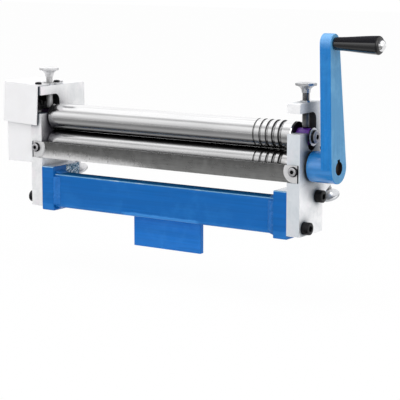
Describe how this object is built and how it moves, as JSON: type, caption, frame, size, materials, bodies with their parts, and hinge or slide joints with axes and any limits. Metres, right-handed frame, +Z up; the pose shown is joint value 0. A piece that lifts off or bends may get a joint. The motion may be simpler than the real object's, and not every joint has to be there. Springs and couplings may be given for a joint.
{
  "type": "bench vise slip roll machine",
  "caption": "Hand-cranked slip roll for bending thin sheet and wire, with geared pinch rolls, an adjustable rear roll and a tongue for clamping in a bench vise.",
  "frame": {"origin": "on the top edge of the vise tongue, at the middle of its thickness and length, level with the base tube's underside", "axes": "+X along the rolls to the crank, +Y to the back of the machine where the bending roll is, +Z up"},
  "size_m": [0.4742, 0.0897, 0.242],
  "materials": {
    "plate_steel": "ground, fine grain",
    "bar_steel": "drawn bar, satin",
    "blue_paint": "brushed-on gloss enamel",
    "weld_paint": "enamel over weld bead",
    "white_paint": "powder coat",
    "roll_steel": "ground and polished",
    "gear_steel": "machined",
    "black_steel": "black oxide",
    "zinc_steel": "bright zinc",
    "knob_steel": "turned",
    "purple_plastic": "moulded",
    "bronze": "machined bronze",
    "grip_plastic": "gloss black"
  },
  "bodies": {
    "frame": {"side_plate_left": "plate_steel", "side_plate_right": "plate_steel", "base_tube": "blue_paint", "end_block_left": "blue_paint", "end_block_right": "blue_paint", "vise_tongue": "blue_paint", "tongue_weld": "weld_paint", "tube_weld_left": "weld_paint", "tube_weld_right": "weld_paint", "frame_cap_screws": "black_steel", "tie_plate": "bar_steel", "tie_plate_screws": "black_steel", "lower_bush_left": "bronze", "lower_bush_right": "bronze", "pressure_screw_collars": "zinc_steel", "guard_upper": "white_paint", "guard_lower": "white_paint", "guard_screws": "black_steel"},
    "drive_roll": {"lower_roll": "roll_steel", "lower_gear": "gear_steel", "lower_gear_key": "gear_steel", "lower_roll_end_washer": "zinc_steel", "lower_roll_end_screw": "zinc_steel", "crank_arm": "blue_paint", "crank_key": "gear_steel", "crank_grub_screw": "black_steel", "grip_spindle": "zinc_steel"},
    "crank_grip": {"grip_sleeve": "grip_plastic", "grip_cap": "zinc_steel"},
    "upper_bushes": {"upper_bush_left": "purple_plastic", "upper_bush_right": "purple_plastic"},
    "pinch_roll": {"upper_roll": "roll_steel", "thrust_washers": "black_steel", "upper_gear": "gear_steel", "upper_gear_key": "gear_steel", "upper_roll_end_washers": "zinc_steel", "upper_roll_end_screws": "zinc_steel"},
    "pressure_left": {"pressure_screw_left": "zinc_steel", "pressure_knob_left": "knob_steel"},
    "pressure_right": {"pressure_screw_right": "zinc_steel", "pressure_knob_right": "knob_steel"},
    "rear_blocks": {"rear_block_left": "bronze", "rear_block_right": "bronze"},
    "bending_roll": {"rear_roll": "roll_steel"},
    "rear_adjuster_left": {"rear_screw_left": "zinc_steel", "rear_knob_left": "knob_steel"},
    "rear_adjuster_right": {"rear_screw_right": "zinc_steel", "rear_knob_right": "knob_steel"}
  },
  "joints": [
    {"name": "drive_turn", "type": "hinge", "parent": "frame", "child": "drive_roll", "pos_m": [0, 0.0045, 0.0705], "axis": [1, 0, 0], "continuous": true},
    {"name": "grip_turn", "type": "hinge", "parent": "drive_roll", "child": "crank_grip", "pos_m": [0.2065, -0.00701, 0.19698], "axis": [1, 0, 0], "continuous": true},
    {"name": "pinch_lift", "type": "slide", "parent": "frame", "child": "upper_bushes", "axis": [0, 0, 1], "range_m": [0, 0.015]},
    {"name": "pinch_turn", "type": "hinge", "parent": "upper_bushes", "child": "pinch_roll", "pos_m": [0, 0.0045, 0.1008], "axis": [1, 0, 0], "continuous": true},
    {"name": "pressure_left_turn", "type": "hinge", "parent": "upper_bushes", "child": "pressure_left", "pos_m": [-0.1675, 0.0045, 0.1395], "axis": [0, 0, 1], "range_deg": [-5, 4330]},
    {"name": "pressure_right_turn", "type": "hinge", "parent": "upper_bushes", "child": "pressure_right", "pos_m": [0.1675, 0.0045, 0.1395], "axis": [0, 0, 1], "range_deg": [-5, 4330]},
    {"name": "bend_lift", "type": "slide", "parent": "frame", "child": "rear_blocks", "axis": [0, -0.4226, 0.9063], "range_m": [-0.0135, 0.0075]},
    {"name": "bending_turn", "type": "hinge", "parent": "rear_blocks", "child": "bending_roll", "pos_m": [0, 0.036, 0.0755], "axis": [1, 0, 0], "continuous": true},
    {"name": "rear_left_turn", "type": "hinge", "parent": "rear_blocks", "child": "rear_adjuster_left", "pos_m": [-0.1675, 0.036, 0.0755], "axis": [0, 0.4226, -0.9063], "range_deg": [-2165, 3893]},
    {"name": "rear_right_turn", "type": "hinge", "parent": "rear_blocks", "child": "rear_adjuster_right", "pos_m": [0.1675, 0.036, 0.0755], "axis": [0, 0.4226, -0.9063], "range_deg": [-2165, 3893]}
  ],
  "couplings": [
    {"joint": "pinch_turn", "follows": "drive_turn", "ratio": -1},
    {"joint": "pressure_left_turn", "follows": "pinch_lift", "rad_per_m": 5026.5},
    {"joint": "pressure_right_turn", "follows": "pinch_lift", "rad_per_m": 5026.5},
    {"joint": "rear_left_turn", "follows": "bend_lift", "rad_per_m": -5026.5},
    {"joint": "rear_right_turn", "follows": "bend_lift", "rad_per_m": -5026.5}
  ]
}
